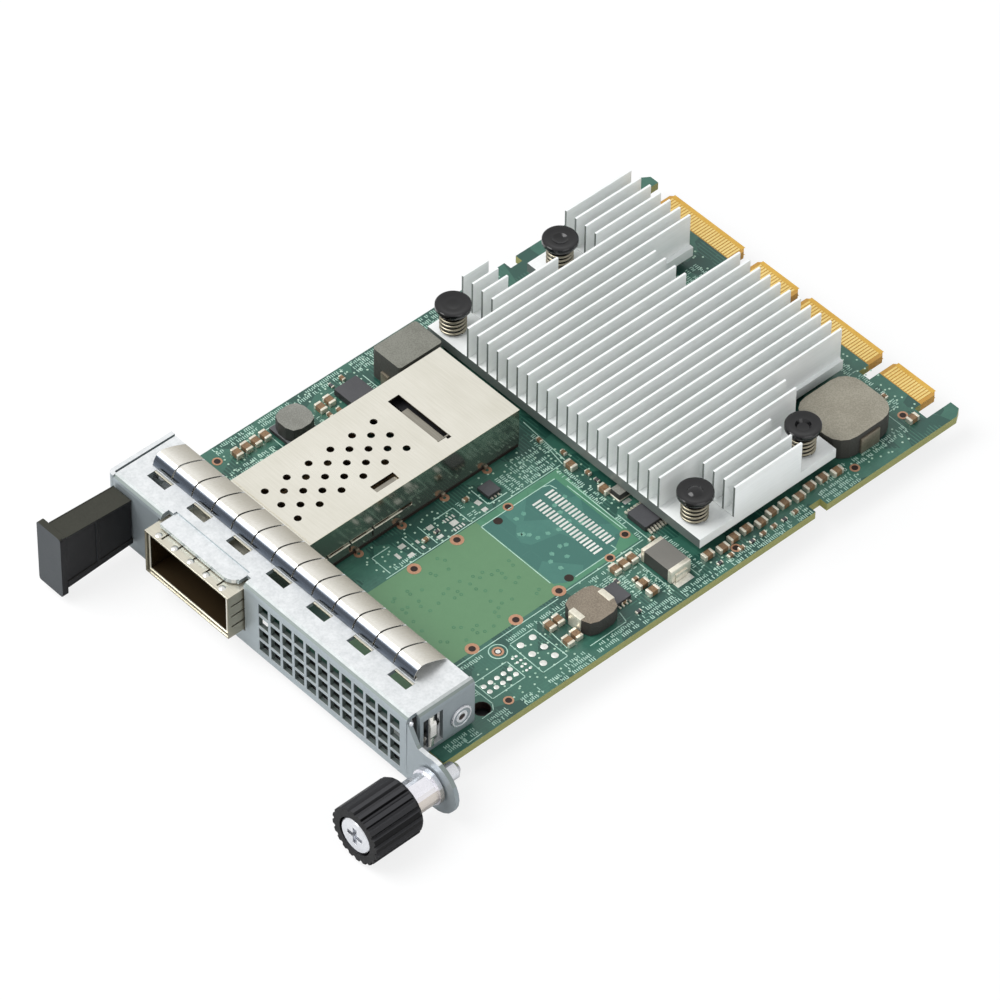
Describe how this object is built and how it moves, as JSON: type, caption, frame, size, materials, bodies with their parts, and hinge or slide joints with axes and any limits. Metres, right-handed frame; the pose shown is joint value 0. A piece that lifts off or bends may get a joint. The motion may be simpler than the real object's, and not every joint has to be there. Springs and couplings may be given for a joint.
{
  "type": "ethernet adapter card",
  "caption": "Slim server network card with one pluggable optics port, perforated folded faceplate, captive thumbscrew, pull tab, finned heatsink on push pins and gold edge tongues.",
  "frame": {"origin": "centre of the bounding box's underside, under the middle of the card", "axes": "+Z away from the board's component side, +Y from the faceplate to the edge tongues, +X towards the thumbscrew's side"},
  "size_m": [0.0838, 0.1356, 0.0179],
  "materials": {
    "solder_mask": "green solder mask on glass epoxy, semi gloss",
    "zinc": "zinc plated sheet steel, satin",
    "spring_steel": "bright stainless spring sheet and wire",
    "nickel": "nickel plated copper alloy sheet, satin, warm",
    "aluminium": "extruded and milled, clear passivated",
    "black_nylon": "moulded black nylon",
    "steel": "turned and plated steel",
    "ferrite": "pressed iron powder and ferrite, matt grey",
    "moulding": "black moulded epoxy and liquid crystal polymer",
    "laminate": "chip package",
    "silicone": "soft grey thermal pad",
    "film": "black polycarbonate film"
  },
  "bodies": {
    "card": {"bottom_insulator": "film", "cage_spring_collar": "nickel", "chip_left": "moulding", "chip_right": "moulding", "chip_small": "moulding", "choke_left": "ferrite", "choke_right": "ferrite", "circuit_board": "solder_mask", "emi_gasket_left": "spring_steel", "emi_gasket_right": "spring_steel", "emi_gasket_top": "spring_steel", "faceplate": "zinc", "flange_nut_left": "steel", "flange_nut_right": "steel", "foot_screw_left": "steel", "foot_screw_right": "steel", "heatsink": "aluminium", "heatsink_pin_1": "black_nylon", "heatsink_pin_2": "black_nylon", "heatsink_pin_3": "black_nylon", "heatsink_pin_4": "black_nylon", "heatsink_spring_1": "spring_steel", "heatsink_spring_2": "spring_steel", "heatsink_spring_3": "spring_steel", "heatsink_spring_4": "spring_steel", "network_chip": "laminate", "power_inductor_large": "ferrite", "power_inductor_tall": "ferrite", "pull_tab": "black_nylon", "pull_tab_screw_1": "steel", "pull_tab_screw_2": "steel", "qsfp_cage": "nickel", "qsfp_receptacle": "moulding", "regulator_soic": "moulding", "tantalum_capacitor": "moulding", "thermal_pad": "silicone", "thumbscrew_ferrule": "steel"},
    "thumbscrew": {"thumbscrew_knob": "black_nylon", "thumbscrew_screw": "steel"}
  },
  "joints": [
    {"name": "thumbscrew_turn", "type": "hinge", "parent": "card", "child": "thumbscrew", "pos_m": [0.03645, -0.0626, 0.0054], "axis": [0, 1, 0], "continuous": true}
  ]
}
